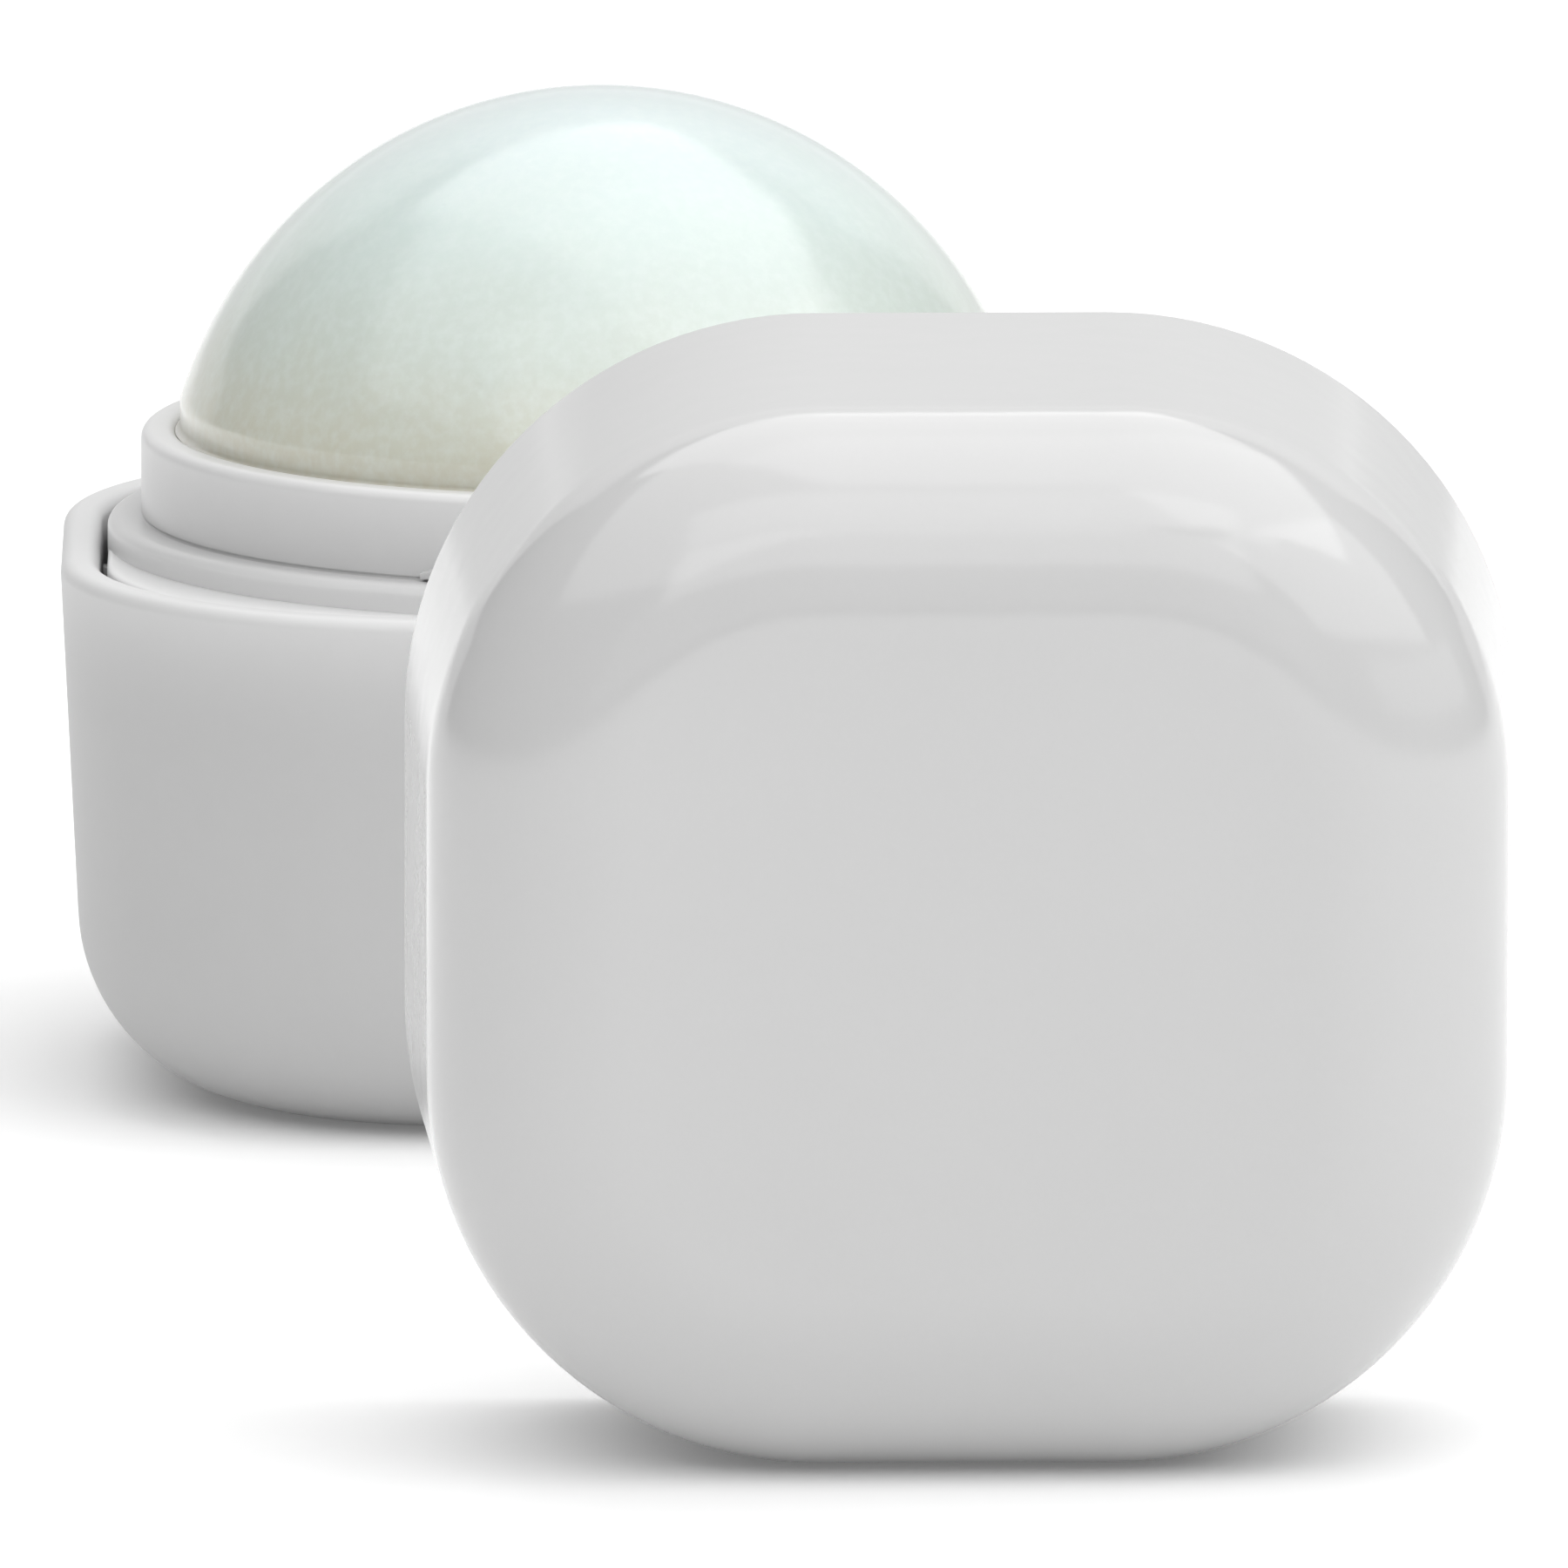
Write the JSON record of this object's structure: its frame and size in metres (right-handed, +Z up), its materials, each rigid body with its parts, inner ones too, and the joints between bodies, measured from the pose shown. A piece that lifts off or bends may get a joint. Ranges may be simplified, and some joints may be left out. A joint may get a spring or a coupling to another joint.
{
  "type": "lip balm cube",
  "caption": "Rounded cube pot of lip balm: drafted base with a threaded round collar, an exposed balm dome, and its domed-liner cap taken off and stood on its side.",
  "frame": {"origin": "centre of the flat foot of the base, on the surface it stands on", "axes": "+Z up along the axis of the base, the balm's dome and the cap's lift; +Y away from the cap, square to one flat side of the base; +X along the side that faces the cap, to the right in the picture"},
  "size_m": [0.0504, 0.1064, 0.0379],
  "materials": {
    "satin_white_plastic": "satin",
    "gloss_white_plastic": "gloss",
    "natural_plastic": "matte",
    "pale_mint_wax": "soft waxy sheen"
  },
  "bodies": {
    "base": {"base_shell": "satin_white_plastic", "neck_insert": "satin_white_plastic", "balm_anchor": "natural_plastic", "balm": "pale_mint_wax"},
    "cap": {"cap_shell": "gloss_white_plastic", "cap_liner": "satin_white_plastic"}
  },
  "joints": [
    {"name": "cap_lift", "type": "slide", "parent": "base", "child": "cap", "axis": [0, 0, 1], "range_m": [0, 0.017]}
  ]
}
